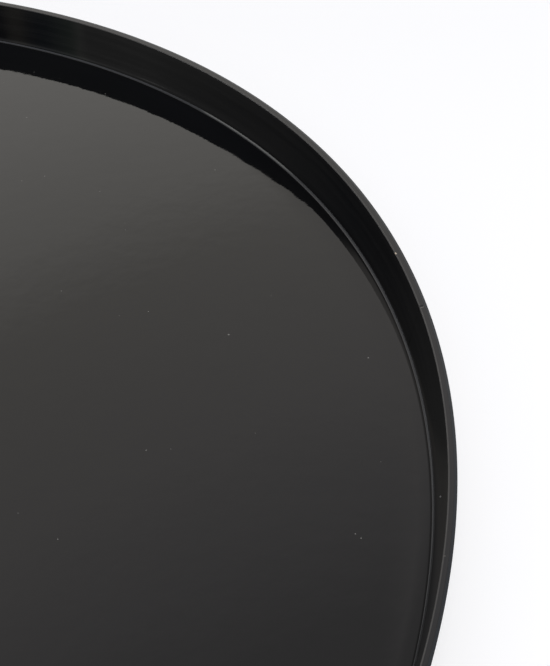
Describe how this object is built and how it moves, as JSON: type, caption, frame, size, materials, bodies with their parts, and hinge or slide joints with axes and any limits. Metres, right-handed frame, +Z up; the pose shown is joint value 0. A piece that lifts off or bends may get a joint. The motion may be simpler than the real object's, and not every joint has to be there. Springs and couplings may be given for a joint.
{
  "type": "serving tray",
  "caption": "Round black-lacquered serving tray: flat glossy floor inside a thin, slightly outward-leaning bent rim, on small felt pads.",
  "frame": {"origin": "centre of the plane that the felt pads stand on", "axes": "+Z is up, out of the tray's recess; +X points at the butt seam of the rim's inner ply"},
  "size_m": [0.4499, 0.45, 0.0194],
  "materials": {
    "black_lacquer": "birch veneer under high-gloss black lacquer",
    "bare_veneer": "bare birch veneer",
    "lacquered_filler": "resin filler under high-gloss black lacquer",
    "pin_steel": "plain drawn steel wire",
    "pad_felt": "pressed charcoal wool felt"
  },
  "bodies": {
    "root": {"floor_face_ply": "black_lacquer", "floor_core_ply": "bare_veneer", "floor_back_ply": "black_lacquer", "rim_inner_ply": "black_lacquer", "rim_outer_ply": "black_lacquer", "corner_fillet": "lacquered_filler", "panel_pins": "pin_steel", "foot_pads": "pad_felt"}
  },
  "joints": []
}
